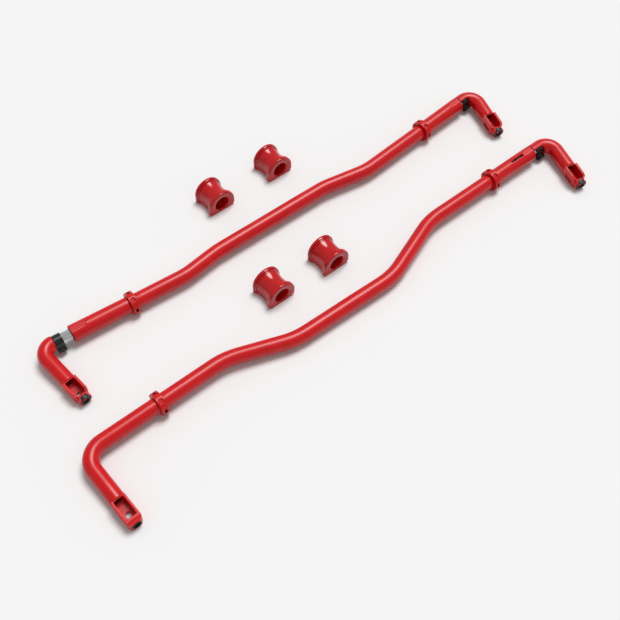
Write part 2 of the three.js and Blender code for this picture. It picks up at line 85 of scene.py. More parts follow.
# Sleeves, their rubber seals, and the stubs that slide in them
SLEEVE_INNER_RADIUS = 13.7
SLEEVE_BORE_RADIUS = 10.2
SLEEVE_BORE_DEPTH = 78
SLEEVE_EDGE = 0.5
FLAT_LENGTH = 27
FLAT_HEIGHT = 13.2
FLAT_RUN_OUT = 0.6
WINDOW_LENGTH = 32
WINDOW_WIDTH = 5
WINDOW_CORNER = 2.4
WINDOW_SETBACK = 4
SEAL_RADIUS = 12.6
SEAL_DEPTH = 3
SEAL_PROUD = 0.9
SEAL_EDGE = 0.6
STUB_CORNER_RADIUS = 9.6
STUB_PLAY = 0.25
STUB_OVERLAP = 62
STUB_BEVEL = 0.8
STUB_HOLE_RADIUS = STUB_CORNER_RADIUS + 0.1
SOCKET_DEPTH = 14
SOCKET_END_GAP = 1

# Lock clamps and the hoods over them
CLAMP_LUG_REACH = 20
CLAMP_LUG_THICKNESS = 10
CLAMP_LUG_LEAN = 55 * DEGREE
CLAMP_SLIT = 1.6
CLAMP_SCREW = {"shank": 1.6, "head": 2.6, "tip": -3.7, "seat": 3.7, "top": 6.6, "socket": 1.3}
HOOD_START = 1.5
HOOD_RADIUS = 13.6
HOOD_INNER_EDGE = 5.5
HOOD_CORNER_RADIUS = 3
HOOD_CLEARANCE = 1.5
CLAMP_ROOM = 1

# Yokes: body is the length of the flat-sided part, and a shorter body leaves a round boss as the tip.
# ring and hole are the liner's radii, and core is the radius of the metal that shows inside it.
FIXED_YOKE = {
    "length": 47, "half_width": 12.5, "body": 47, "corner": 8,
    "slot": 13, "ring": 7.6, "hole": 6.2, "core": 0,
}
ADJUSTABLE_YOKE = {
    "length": 42, "half_width": 13, "body": 33, "corner": 4,
    "slot": 9, "ring": 9.1, "hole": 5.2, "core": 3.4,
}
YOKE_TOP = 12
YOKE_BOTTOM = -10
YOKE_TIP_WALL = 11
YOKE_HALF_CHAMFER = 2.8
YOKE_BOSS_RADIUS = 11
YOKE_BOSS_ROOT = 6
YOKE_DECK = 7
YOKE_DECK_HALF_WIDTH = 6.5
YOKE_DECK_OVERLAP = 2
YOKE_DECK_OVERHANG = 0.8
TROUGH_START = 2
TROUGH_WIDTH = 17
TROUGH_FLOOR = -5.5
LINK_HOLE_RADIUS = 4.5
LINK_HOLE_SETBACK = 3
POCKET_START = 9
POCKET_SETBACK = 3
POCKET_MIDDLE = -1
POCKET_HALF_HEIGHT = 4.2
POCKET_CORNER = 2.5
POCKET_DEPTH = 2.5
LINER_DEPTH = 7
LINER_PROUD = 0.8
LINER_EDGE = 1.2
CORE_SETBACK = 1.5
BORE_MOUTH_RADIUS = 6.6
BORE_MOUTH_RISE = 2.2

# Bushings
BUSHING_HALF_LENGTH = 24
BUSHING_HALF_WIDTH = 26.5
BUSHING_SHOULDER = 15
BUSHING_BORE_HEIGHT = 16.5
BUSHING_BORE_RADIUS = 13.4
BUSHING_ROUND_CORNER = 8
BUSHING_SHARP_CORNER = 2
BUSHING_RIM = 1.8
WAIST_HALF_LENGTH = 14.8
WAIST_INSET = 3.0
WAIST_SAG = 2.0

# Corners of each bar's centre line in plan, from left to right, before the bends round them off
FRONT_CORNERS = [(-496.5, -91), (-499, 0), (-238, 0), (-127, -41), (78, -47), (208, 0), (368, 0)]
REAR_CORNERS = [(-327.7, 1.5), (-220, -6.5), (-151, 2), (84, 2.5), (173, -12.5), (328, 1)]
FRONT_COLLAR_REACH = 362
# Where each bar lies; reach is from its axis to the end of its yokes, which rest on the floor.
FRONT_PLACE = {"x": 0, "y": 0, "heading": 0, "reach": 138}
REAR_PLACE = {"x": 31.5, "y": 177.5, "heading": -1.07 * DEGREE, "reach": 107}
BUSHINGS = {
    "front_left_bushing": (-90, 64),
    "front_right_bushing": (24, 58),
    "rear_left_bushing": (-46, 290),
    "rear_right_bushing": (85, 289),
}
# Adjustable ends, with distances measured outwards from the sleeve's mouth: sleeve is its length, mouth its
# radius there, and corner is where the arm turns off by turn towards side, to run on for reach. gap is where
# the clamp starts, clamp its width and lug its lug's width.
ENDS = {
    "rear_left": {
        "bar": "rear_bar", "sleeve": 103.3, "mouth": 14.6, "corner": 57, "turn": 101 * DEGREE,
        "side": 1, "reach": 78, "gap": 16.5, "clamp": 14.5, "clamp_radius": 11.6, "lug": 14.5,
        "hooded": False, "windowed": False,
    },
    "rear_right": {
        "bar": "rear_bar", "sleeve": 95, "mouth": 14.1, "corner": 43, "turn": 111 * DEGREE,
        "side": -1, "reach": 66, "gap": 7, "clamp": 11, "clamp_radius": 11.3, "lug": 13,
        "hooded": True, "windowed": False,
    },
    "front_right": {
        "bar": "front_bar", "sleeve": 98, "mouth": 14.1, "corner": 51, "turn": 107 * DEGREE,
        "side": -1, "reach": 73, "gap": 9, "clamp": 12, "clamp_radius": 11.3, "lug": 15,
        "hooded": True, "windowed": True,
    },
}

# Camera and light
VIEW_PITCH = 55 * DEGREE
VIEW_AZIMUTH = 39.64 * DEGREE
CAMERA_PLACE = Vector((-622.7, -674.2, 1246))
SENSOR_WIDTH = 36
LENS = 53.25
SUN_TILT = 22.6 * DEGREE
SUN_AZIMUTH = 73 * DEGREE
SUN_WIDTH = 28 * DEGREE
SUN_STRENGTH = 2.45
SKY_STRENGTH = 0.42
FLOOR_REACH_METRES = 8.0


# Places
def find_kit_shift():
    low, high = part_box("front_left_bushing")
    middle = (low + high) / (2 * MM)
    x, y = BUSHINGS["front_left_bushing"]
    return Vector((middle.x - x, middle.y - y, 0))


KIT_SHIFT = find_kit_shift()


def placed(x, y, z=0, heading=0):
    return Matrix.Translation((x, y, z)) @ Matrix.Rotation(heading, 4, "Z")


def bar_frame(place):
    """A bar's frame, rolled about the bar until its yokes' lower edges touch the floor."""
    tip = math.hypot(place["reach"], YOKE_BOTTOM)
    roll = math.asin(AXIS_HEIGHT / tip) - math.atan2(-YOKE_BOTTOM, place["reach"])
    base = placed(KIT_SHIFT.x + place["x"], KIT_SHIFT.y + place["y"], AXIS_HEIGHT, place["heading"])
    return base @ Matrix.Rotation(roll, 4, "X")


BARS = {
    "front_bar": (bar_frame(FRONT_PLACE), FRONT_CORNERS),
    "rear_bar": (bar_frame(REAR_PLACE), REAR_CORNERS),
}


def along_end(corners, from_left, distance):
    """Point and outward heading at a distance inboard of a bar's end."""
    tip, inner = (corners[0], corners[1]) if from_left else (corners[-1], corners[-2])
    heading = math.atan2(tip[1] - inner[1], tip[0] - inner[0])
    return tip[0] - math.cos(heading) * distance, tip[1] - math.sin(heading) * distance, heading


def mouth_frame(name):
    """The frame at the centre of a sleeve's mouth, with x outwards along the sleeve."""
    end = ENDS[name]
    bar, corners = BARS[end["bar"]]
    x, y, heading = along_end(corners, name.endswith("left"), -FIT_GAP - end["sleeve"])
    return bar @ placed(x, y, 0, heading)


def arm_end(end):
    return (
        end["corner"] + math.cos(end["turn"]) * end["reach"],
        end["side"] * math.sin(end["turn"]) * end["reach"],
    )


def bend_start(end):
    return end["corner"] - ELBOW_BEND_RADIUS * math.tan(end["turn"] / 2)


# Materials: noise scales are per metre, and bump heights are in metres
def material(name, base, roughness, metallic=0.0):
    made = bpy.data.materials.new(name)
    made.use_nodes = True
    shader = made.node_tree.nodes["Principled BSDF"]
    shader.inputs["Base Color"].default_value = (*base, 1)
    shader.inputs["Roughness"].default_value = roughness
    shader.inputs["Metallic"].default_value = metallic
    return made, shader


def noise(tree, scale, detail, stretch=(1, 1, 1)):
    """Noise over the piece's own coordinates; stretch pulls it out along an axis."""
    coordinates = tree.nodes.new("ShaderNodeTexCoord")
    mapping = tree.nodes.new("ShaderNodeMapping")
    mapping.inputs["Scale"].default_value = stretch
    texture = tree.nodes.new("ShaderNodeTexNoise")
    texture.inputs["Scale"].default_value = scale
    texture.inputs["Detail"].default_value = detail
    tree.links.new(coordinates.outputs["Object"], mapping.inputs["Vector"])
    tree.links.new(mapping.outputs["Vector"], texture.inputs["Vector"])
    return texture.outputs["Fac"]


def spread(tree, source, low, high):
    """Maps noise, which stays mostly between 0.3 and 0.7, onto low to high."""
    mapped = tree.nodes.new("ShaderNodeMapRange")
    mapped.inputs["From Min"].default_value = 0.3
    mapped.inputs["From Max"].default_value = 0.7
    mapped.inputs["To Min"].default_value = low
    mapped.inputs["To Max"].default_value = high
    tree.links.new(source, mapped.inputs["Value"])
    return mapped.outputs["Result"]


def tint(tree, shader, source, dark, light):
    """Varies the colour between dark and light."""
    mix = tree.nodes.new("ShaderNodeMix")
    mix.data_type = "RGBA"
    mix.inputs["A"].default_value = (*dark, 1)
    mix.inputs["B"].default_value = (*light, 1)
    tree.links.new(spread(tree, source, 0, 1), mix.inputs["Factor"])
    tree.links.new(mix.outputs["Result"], shader.inputs["Base Color"])


def polish(tree, shader, source, low, high):
    """Varies the roughness between low and high."""
    tree.links.new(spread(tree, source, low, high), shader.inputs["Roughness"])


def bumps(tree, shader, layers):
    """Stacks (height source, height) pairs into the shader's normal."""
    normal = None
    for source, height in layers:
        bump = tree.nodes.new("ShaderNodeBump")
        bump.inputs["Distance"].default_value = height
        tree.links.new(source, bump.inputs["Height"])
        if normal:
            tree.links.new(normal, bump.inputs["Normal"])
        normal = bump.outputs["Normal"]
    tree.links.new(normal, shader.inputs["Normal"])


def powder_coat():
    """Glossy red paint with a faint orange peel and a finer grain on it."""
    made, shader = material("red_powder_coat", (0.56, 0.002, 0.004), roughness=0.31)
    tree = made.node_tree
    tint(tree, shader, noise(tree, 60, 3), dark=(0.53, 0.0015, 0.003), light=(0.59, 0.003, 0.006))
    polish(tree, shader, noise(tree, 350, 3), 0.300, 0.318)
    shader.inputs["Specular IOR Level"].default_value = 0.4
    orange_peel, fine_grain = noise(tree, 450, 2), noise(tree, 1600, 2)
    bumps(tree, shader, [(orange_peel, 6 * MICRON), (fine_grain, 1.5 * MICRON)])
    return made


def elastomer():
    """Moulded red rubber, darker and glossier than the paint, with soft waves in its surface."""
    made, shader = material("red_elastomer", (0.47, 0.002, 0.005), roughness=0.2)
    tree = made.node_tree
    tint(tree, shader, noise(tree, 90, 4), dark=(0.43, 0.0015, 0.004), light=(0.51, 0.003, 0.007))
    polish(tree, shader, noise(tree, 220, 3), 0.17, 0.20)
    waves, fine_grain = noise(tree, 120, 3), noise(tree, 900, 2)
    bumps(tree, shader, [(waves, 20 * MICRON), (fine_grain, 2 * MICRON)])
    return made


def bright_steel():
    """Drawn steel with a grain along its length."""
    made, shader = material("bright_steel", (0.66, 0.67, 0.69), roughness=0.25, metallic=1)
    tree = made.node_tree
    grain = noise(tree, 900, 3, stretch=(0.04, 1, 1))
    tint(tree, shader, grain, dark=(0.58, 0.59, 0.61), light=(0.78, 0.79, 0.80))
    polish(tree, shader, grain, 0.16, 0.34)
    bumps(tree, shader, [(grain, 10 * MICRON)])
    return made


def black_steel():
    """Blackened steel with an uneven sheen."""
    made, shader = material("black_steel", (0.006, 0.007, 0.008), roughness=0.28)
    tree = made.node_tree
    tint(tree, shader, noise(tree, 260, 4), dark=(0.004, 0.0045, 0.005), light=(0.012, 0.013, 0.015))
    polish(tree, shader, noise(tree, 700, 3), 0.2, 0.36)
    bumps(tree, shader, [(noise(tree, 1500, 2), 10 * MICRON)])
    return made


def black_rubber():
    """Matt rubber with a fine grain."""
    made, shader = material("black_rubber", (0.012, 0.013, 0.014), roughness=0.5)
    tree = made.node_tree
    tint(tree, shader, noise(tree, 400, 4), dark=(0.008, 0.009, 0.010), light=(0.02, 0.021, 0.023))
    polish(tree, shader, noise(tree, 900, 3), 0.4, 0.6)
    bumps(tree, shader, [(noise(tree, 2200, 2), 20 * MICRON)])
    return made


FINISHES = {
    "red_powder_coat": powder_coat(),
    "red_elastomer": elastomer(),
    "bright_steel": bright_steel(),
    "black_steel": black_steel(),
    "black_rubber": black_rubber(),
}

# Every CAD node gets its slot's finish, in case no finer piece replaces it.
for subpart in frame["record"]["subparts"]:
    carried = frame["nodes"][subpart["node"]]
    carried.data.materials.clear()
    carried.data.materials.append(FINISHES[subpart["material_slot"]])


# Mesh building
def mesh_from(bm, name, matrix):
    bmesh.ops.recalc_face_normals(bm, faces=bm.faces)
    mesh = bpy.data.meshes.new(name)
    bm.to_mesh(mesh)
    bm.free()
    mesh.transform(matrix)
    return mesh


def metre_mesh(name, bm):
    """A mesh in metres from a bmesh in millimetres."""
    return mesh_from(bm, name, Matrix.Scale(MM, 4))


def linked(name, data):
    """A new object in the scene."""
    obj = bpy.data.objects.new(name, data)
    bpy.context.scene.collection.objects.link(obj)
    return obj


def add_piece(name, mesh, matrix, slot, body, node=None, smooth_angle=35 * DEGREE):
    """Adds a finished piece from a mesh in metres and a place in millimetres; node is what it stands for."""
    mesh.materials.append(FINISHES[slot])
    for polygon in mesh.polygons:
        polygon.use_smooth = True
    mesh.set_sharp_from_angle(angle=smooth_angle)
    piece = linked(name, mesh)
    place = matrix.copy()
    place.translation = matrix.translation * MM
    piece.matrix_world = place
    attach(piece, body)
    if node:
        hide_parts(node)


def skin(rings, looped=False):
    """A skin over equal closed rings of points, with both ends closed; looped joins the ends instead."""
    bm = bmesh.new()
    grid = [[bm.verts.new(point) for point in ring] for ring in rings]
    count = len(grid[0])
    pairs = list(zip(grid, grid[1:]))
    if looped:
        pairs.append((grid[-1], grid[0]))
    for near, far in pairs:
        for k in range(count):
            n = (k + 1) % count
            bm.faces.new((near[k], near[n], far[n], far[k]))
    if not looped:
        bm.faces.new(grid[0])
        bm.faces.new(list(reversed(grid[-1])))
    return bm


def circle(radius, x, segments):
    """A ring of points round the x axis."""
    steps = [TAU * k / segments for k in range(segments)]
    return [Vector((x, radius * math.cos(a), radius * math.sin(a))) for a in steps]


def hexagon(corner_radius, x, segments=48):
    """A ring of points on a hexagon's sides, so that it joins to round rings."""
    apothem = corner_radius * math.cos(30 * DEGREE)
    ring = []
    for k in range(segments):
        a = TAU * k / segments
        radius = apothem / math.cos(a % (60 * DEGREE) - 30 * DEGREE)
        ring.append(Vector((x, radius * math.cos(a), radius * math.sin(a))))
    return ring


def lathe(profile, looped=False, segments=64):
    """A skin round the x axis through (x, radius) points."""
    return skin([circle(radius, x, segments) for x, radius in profile], looped)


def arc(cx, cy, radius, start, stop, steps=5):
    """Points on an arc in a plane, with its angles in degrees."""
    angles = [(start + (stop - start) * k / steps) * DEGREE for k in range(steps + 1)]
    return [(cx + radius * math.cos(a), cy + radius * math.sin(a)) for a in angles]


def edge_rounding(radius, steps=4):
    """(along, inset) pairs that round an edge, from the end face to the full section."""
    turns = [90 * DEGREE * k / steps for k in range(steps + 1)]
    return [(radius * (1 - math.cos(t)), radius * (1 - math.sin(t))) for t in turns]


def route(corners, radii, step_angle=3 * DEGREE, straight_step=25):
    """(point, tangent) stations along a line of straights and round bends, in the xy plane."""
    points = [Vector((x, y, 0)) for x, y in corners]
    stations = [(points[0], (points[1] - points[0]).normalized())]

    def run_to(target, tangent):
        start = stations[-1][0]
        steps = max(1, round((target - start).length / straight_step))
        for k in range(1, steps + 1):
            stations.append((start.lerp(target, k / steps), tangent))

    for i in range(1, len(points) - 1):
        radius = radii[i - 1]
        before = (points[i] - points[i - 1]).normalized()
        after = (points[i + 1] - points[i]).normalized()
        turn = math.atan2(before.x * after.y - before.y * after.x, before.dot(after))
        start = points[i] - before * radius * math.tan(abs(turn) / 2)
        run_to(start, before)
        inward = Vector((-before.y, before.x, 0)) * math.copysign(1, turn)
        centre = start + inward * radius
        steps = max(2, math.ceil(abs(turn) / step_angle))
        for k in range(1, steps + 1):
            spin = Matrix.Rotation(turn * k / steps, 3, "Z")
            stations.append((centre + spin @ (-inward * radius), spin @ before))
    run_to(points[-1], (points[-1] - points[-2]).normalized())
    return stations


def swept(stations, radius, bore=None, edge=0.8, segments=64):
    """A round bar along a route with rounded ends, and a blind bore in its far end."""
    angles = [TAU * k / segments for k in range(segments)]
    up = Vector((0, 0, 1))

    def ring(point, tangent, ring_radius):
        across = Vector((-tangent.y, tangent.x, 0))
        return [point + (across * math.cos(a) + up * math.sin(a)) * ring_radius for a in angles]

    rounding = edge_rounding(edge, steps=3)
    (first, inward), (last, outward) = stations[0], stations[-1]
    rings = [ring(first + inward * along, inward, radius - inset) for along, inset in rounding]
    rings += [ring(point, tangent, radius) for point, tangent in stations[1:-1]]
    rings += [ring(last - outward * along, outward, radius - inset) for along, inset in reversed(rounding)]
    if bore:
        rings.append(ring(last, outward, bore))
        rings.append(ring(last - outward * ARM_BORE_DEPTH, outward, bore))
    return skin(rings)


# Rough shapes, which are joined, cut and then softened as forged and coated metal is
def rough(bm, matrix=HERE):
    return linked("rough", mesh_from(bm, "rough", matrix))


def prism(outline, low, high, axis="z", matrix=HERE):
    """A block with an outline in two axes and a depth along the third."""
    def point(u, v, depth):
        return Vector({"x": (depth, u, v), "y": (u, depth, v), "z": (u, v, depth)}[axis])

    return rough(skin([[point(u, v, depth) for u, v in outline] for depth in (low, high)]), matrix)


def box(x0, x1, y0, y1, z0, z1, matrix=HERE):
    return prism([(x0, y0), (x1, y0), (x1, y1), (x0, y1)], z0, z1, matrix=matrix)


def rod(radius, x0, x1, matrix=HERE, segments=48):
    return rough(skin([circle(radius, x0, segments), circle(radius, x1, segments)]), matrix)


def ring_outline(radius, cx, cy, steps):
    turns = [TAU * k / steps for k in range(steps)]
    return [(cx + radius * math.cos(a), cy + radius * math.sin(a)) for a in turns]


def rounded_outline(half_x, half_y, radius, cx=0, cy=0, steps=6):
    """A rectangle with round corners."""
    points = []
    for quadrant, (sx, sy) in enumerate([(1, 1), (-1, 1), (-1, -1), (1, -1)]):
        corner_x, corner_y = cx + sx * (half_x - radius), cy + sy * (half_y - radius)
        points += arc(corner_x, corner_y, radius, 90 * quadrant, 90 * quadrant + 90, steps)
    return points


def combine(base, operation, others):
    for other in others:
        modifier = base.modifiers.new("cut", "BOOLEAN")
        modifier.operation = operation
        modifier.solver = "EXACT"
        modifier.object = other


def finished(name, base, others):
    """The mesh that a rough shape's modifiers give; the rough shapes themselves are deleted."""
    bm = bmesh.new()
    bm.from_object(base, bpy.context.evaluated_depsgraph_get())
    for obj in [base, *others]:
        mesh = obj.data
        bpy.data.objects.remove(obj)
        bpy.data.meshes.remove(mesh)
    return metre_mesh(name, bm)


def forged(name, added, removed, voxel, soften):
    """Joins and cuts rough shapes, then remeshes and relaxes the result so that every edge is rounded."""
    base, *more = added
    combine(base, "UNION", more)
    combine(base, "DIFFERENCE", removed)
    remesh = base.modifiers.new("remesh", "REMESH")
    remesh.mode = "VOXEL"
    remesh.voxel_size = voxel
    smooth = base.modifiers.new("smooth", "SMOOTH")
    smooth.factor = 0.5
    smooth.iterations = soften
    return finished(name, base, more + removed)


# Tubes
def make_tubes():
    humps = [HUMP_BEND_RADIUS] * HUMP_BENDS
    matrix, corners = BARS["front_bar"]
    from_left = route(corners, [ARM_BEND_RADIUS] + humps)
    from_right = [(point, -tangent) for point, tangent in reversed(from_left)]
    front = metre_mesh("front_tube", swept(from_right, TUBE_RADIUS, ARM_BORE_RADIUS))
    add_piece("front_tube", front, matrix, "red_powder_coat", "front_bar", "front_bar_tube")
    matrix, corners = BARS["rear_bar"]
    rear = metre_mesh("rear_tube", swept(route(corners, humps), TUBE_RADIUS))
    add_piece("rear_tube", rear, matrix, "red_powder_coat", "rear_bar", "rear_bar_tube")


# Bushings: rings round the bore along y, out along the D-shaped body and back down the bore
def bushing_radius(angle, inset):
    """Distance from the bore's centre to the D-shaped outline."""
    half_width = BUSHING_HALF_WIDTH - inset
    across, up = math.cos(angle), math.sin(angle)
    crown_offset = BUSHING_BORE_HEIGHT - BUSHING_SHOULDER
    crown = -crown_offset * up + math.sqrt(half_width ** 2 - (crown_offset * across) ** 2)
    if BUSHING_BORE_HEIGHT + crown * up >= BUSHING_SHOULDER:
        return crown
    reach = min(half_width / max(abs(across), TINY), BUSHING_BORE_HEIGHT / max(-up, TINY))
    corner = BUSHING_ROUND_CORNER if across > 0 else BUSHING_SHARP_CORNER
    x, z = abs(across) * reach, BUSHING_BORE_HEIGHT + up * reach
    if x > half_width - corner and z < corner:
        centre = Vector((half_width - corner, corner - BUSHING_BORE_HEIGHT))
        middle = centre.dot(Vector((abs(across), up)))
        reach = middle + math.sqrt(max(0, corner ** 2 - centre.length_squared + middle ** 2))
    return reach


def bushing_profile():
    """(y, inset) pairs along the outside: front flange, hollow waist, groove, rear flange."""
    half, waist = BUSHING_HALF_LENGTH, WAIST_HALF_LENGTH
    rim = edge_rounding(BUSHING_RIM)
    profile = [(-half + along, inset) for along, inset in rim]
    profile += [(-waist - 2.3, 0), (-waist - 1.2, 0.6)]
    steps = 14
    for k in range(steps + 1):
        profile.append((waist * (2 * k / steps - 1), WAIST_INSET + WAIST_SAG * math.sin(math.pi * k / steps)))
    profile += [(waist + 0.6, 1.4), (waist + 2.4, 1.2), (waist + 2.8, 2.4), (waist + 3.3, 2.4)]
    profile += [(waist + 3.7, 0.3), (waist + 4.4, 0)]
    profile += [(half - along, inset) for along, inset in reversed(rim)]
    return profile


def bore_profile():
    """(y, radius) pairs down the bore, which flares at both mouths and tightens in the middle."""
    half, bore = BUSHING_HALF_LENGTH, BUSHING_BORE_RADIUS
    rear = [(half, bore + 2.2), (half - 0.8, bore + 0.9), (half - 2.5, bore)]
    front = [(-y, radius) for y, radius in reversed(rear)]
    return rear + [(0, bore - 0.15)] + front


def bushing_mesh(segments=120):
    angles = [TAU * k / segments for k in range(segments)]

    def ring(y, radii):
        return [
            Vector((radius * math.cos(a), y, BUSHING_BORE_HEIGHT + radius * math.sin(a)))
            for a, radius in zip(angles, radii)
        ]

    rings = [ring(y, [bushing_radius(a, inset) for a in angles]) for y, inset in bushing_profile()]
    rings += [ring(y, [radius] * segments) for y, radius in bore_profile()]
    return metre_mesh("bushing", skin(rings, looped=True))


def make_bushings():
    mesh = bushing_mesh()
    for name, (x, y) in BUSHINGS.items():
        matrix = placed(KIT_SHIFT.x + x, KIT_SHIFT.y + y)
        add_piece(name + "_body", mesh.copy(), matrix, "red_elastomer", name, name, 40 * DEGREE)


def cap_screw(shank, head, tip, seat, top, socket):
    """A hexagon-socket screw along x, with its head from seat to top."""
    point, bevel, crown, countersink, socket_depth = 0.3, 0.2, 0.35, 0.25, 1.5
    profile = [(tip, shank - point), (tip + point + 0.1, shank), (seat, shank)]
    profile += [(seat, head - bevel), (seat + bevel, head)]
    profile += [(top - along, head - inset) for along, inset in reversed(edge_rounding(crown, steps=2))]
    profile.append((top, socket + countersink))
    rings = [circle(radius, x, 48) for x, radius in profile]
    rings += [hexagon(socket, top - bevel), hexagon(socket, top - socket_depth)]
    return metre_mesh("cap_screw", skin(rings))


# Collars: x along the bar; the halves part along z; their screws run along z
def collar_half(upper):
    half = COLLAR_WIDTH / 2
    lugs = rounded_outline(LUG_REACH, LUG_HALF_HEIGHT, LUG_CORNER)
    added = [rod(COLLAR_RADIUS, -half, half, segments=96), prism(lugs, -half, half, axis="x")]
    other_half = (-CUT, FIT_GAP) if upper else (-FIT_GAP, CUT)
    removed = [rod(TUBE_RADIUS + FIT_GAP, -CUT, CUT, segments=96), box(-CUT, CUT, -CUT, CUT, *other_half)]
    for y in (-SCREW_OFFSET, SCREW_OFFSET):
        for radius, bottom in (("head", "seat"), ("shank", "tip")):
            hole = ring_outline(COLLAR_SCREW[radius] + SCREW_PLAY, 0, y, 32)
            removed.append(prism(hole, COLLAR_SCREW[bottom] - FIT_GAP, CUT))
    if upper:
        half_length, half_width = COLLAR_WINDOW["length"] / 2, COLLAR_WINDOW["width"] / 2
        window = rounded_outline(half_length, half_width, COLLAR_WINDOW["corner"])
        removed.append(prism(window, COLLAR_RADIUS - COLLAR_WINDOW["depth"], CUT))
    socket = ring_outline(SIDE_SOCKET_RADIUS, SCREW_OFFSET - FIT_GAP, 0, 24)
    removed.append(prism(socket, -CUT, SIDE_SOCKET_DEPTH - half, axis="x"))
    return forged("collar_half", added, removed, voxel=0.4, soften=3)


def collar_frame(name):
    """The frame at a collar's middle, with x along its bar."""
    bar, corners = BARS["front_bar" if name.startswith("front") else "rear_bar"]
    left = name.endswith("left")
    if name == "front_left":
        x, y, heading = -FRONT_COLLAR_REACH, 0, 0
    else:
        x, y, heading = along_end(corners, left, COLLAR_WIDTH / 2)
        heading += math.pi if left else 0
    return bar @ placed(x, y, 0, heading) @ Matrix.Rotation(COLLAR_TILT, 4, "X")


def make_collars():
    halves = {"upper_half": collar_half(True), "lower_half": collar_half(False)}
    screw = cap_screw(**COLLAR_SCREW)
    upright = Matrix.Rotation(-90 * DEGREE, 4, "Y")
    for name in ("front_left", "front_right", "rear_left", "rear_right"):
        matrix = collar_frame(name)
        body = name + "_collar"
        for half, mesh in halves.items():
            node = f"{body}_{half}"
            add_piece(node + "_forging", mesh.copy(), matrix, "red_powder_coat", body, node, 50 * DEGREE)
        for place, y in (("front", -SCREW_OFFSET), ("rear", SCREW_OFFSET)):
            hole = matrix @ Matrix.Translation((0, y, 0)) @ upright
            prefix = f"{body}_{place}"
            add_piece(prefix + "_cap_screw", screw.copy(), hole, "black_steel", body, prefix + "_screw")


# Sleeves: the mouth is at x = 0 and the body runs to -x
def sleeve_ring(x, radius, flatted, segments=96):
    """A ring round the x axis; flatted cuts its top and bottom flat."""
    ring = []
    for k in range(segments):
        a = TAU * k / segments
        reach = min(radius, FLAT_HEIGHT / max(abs(math.sin(a)), TINY)) if flatted else radius
        ring.append(Vector((x, reach * math.cos(a), reach * math.sin(a))))
    return ring


def sleeve(name, end):
    length, mouth = end["sleeve"], end["mouth"]
    taper = (mouth - SLEEVE_INNER_RADIUS) / length
    rounding = edge_rounding(SLEEVE_EDGE)

    def outer(x):
        return SLEEVE_INNER_RADIUS + taper * (x + length)

    sections = [(along - length, outer(-length) - inset, False) for along, inset in rounding]
    round_steps, flat_steps = 10, 4
    for k in range(1, round_steps):
        x = -length + (length - FLAT_LENGTH) * k / round_steps
        sections.append((x, outer(x), False))
    sections.append((-FLAT_LENGTH - FLAT_RUN_OUT, outer(-FLAT_LENGTH), False))
    for k in range(flat_steps):
        x = -FLAT_LENGTH * (1 - k / flat_steps)
        sections.append((x, outer(x), True))
    sections += [(-along, mouth - inset, True) for along, inset in reversed(rounding)]
    recess = SEAL_RADIUS + FIT_GAP
    inside = [(0, recess), (-SEAL_DEPTH, recess), (-SEAL_DEPTH, SLEEVE_BORE_RADIUS)]
    inside.append((-SLEEVE_BORE_DEPTH, SLEEVE_BORE_RADIUS))
    sections += [(x, radius, False) for x, radius in inside]
    body = skin([sleeve_ring(*section) for section in sections])
    return windowed(name, body) if end["windowed"] else metre_mesh(name, body)


def windowed(name, body):
    """Cuts the sight window through the top of a sleeve."""
    middle = WINDOW_SETBACK - FLAT_LENGTH - WINDOW_LENGTH / 2
    base = rough(body)
    cutter = prism(rounded_outline(WINDOW_LENGTH / 2, WINDOW_WIDTH / 2, WINDOW_CORNER, middle), 0, CUT)
    combine(base, "DIFFERENCE", [cutter])
    return finished(name, base, [cutter])


def rubber_ring(name, back, front, inner, outer, edge):
    """A ring round the x axis with round edges on its front face."""
    profile = [(back, inner), (back, outer)]
    profile += arc(front - edge, outer - edge, edge, 90, 0)
    profile += arc(front - edge, inner + edge, edge, 0, -90)
    return metre_mesh(name, lathe(profile, looped=True))


def seal():
    inner = STUB_CORNER_RADIUS + FIT_GAP
    return rubber_ring("seal", FIT_GAP - SEAL_DEPTH, SEAL_PROUD, inner, SEAL_RADIUS, SEAL_EDGE)


def stub(end):
    """A six-sided shaft with bevelled ends, from inside the sleeve to inside the elbow."""
    radius = STUB_CORNER_RADIUS - STUB_PLAY
    inner, tail = -STUB_OVERLAP, bend_start(end) + SOCKET_DEPTH - SOCKET_END_GAP
    first, last, steps = inner + STUB_BEVEL, tail - STUB_BEVEL, 5
    rings = [hexagon(radius - STUB_BEVEL, inner)]
    rings += [hexagon(radius, first + (last - first) * k / steps) for k in range(steps + 1)]
    rings.append(hexagon(radius - STUB_BEVEL, tail))
    return metre_mesh("stub", skin(rings))


# Lock clamps: a split ring whose lug points to -z, drawn closed by a screw along y
def lug_outline():
    """A lug that narrows from its root in the ring to a blunt tip."""
    half, tip = CLAMP_LUG_THICKNESS / 2, -CLAMP_LUG_REACH
    root_spread, root_height, shoulder, blunt_width, blunt_height = 2.5, -6, 4, 2, 0.6
    right = [(half + root_spread, root_height), (half, tip + shoulder)]
    right.append((half - blunt_width, tip + blunt_height))
    left = [(-y, z) for y, z in reversed(right)]
    return right + [(0, tip)] + left


def clamp_screw_frame(end):
    """The frame of a clamp's screw, with x along it; its head is on the side that shows."""
    middle = end["gap"] + end["clamp"] / 2
    height = -(end["clamp_radius"] + CLAMP_LUG_REACH) / 2
    return Matrix.Translation((middle, 0, height)) @ Matrix.Rotation(end["side"] * 90 * DEGREE, 4, "Z")


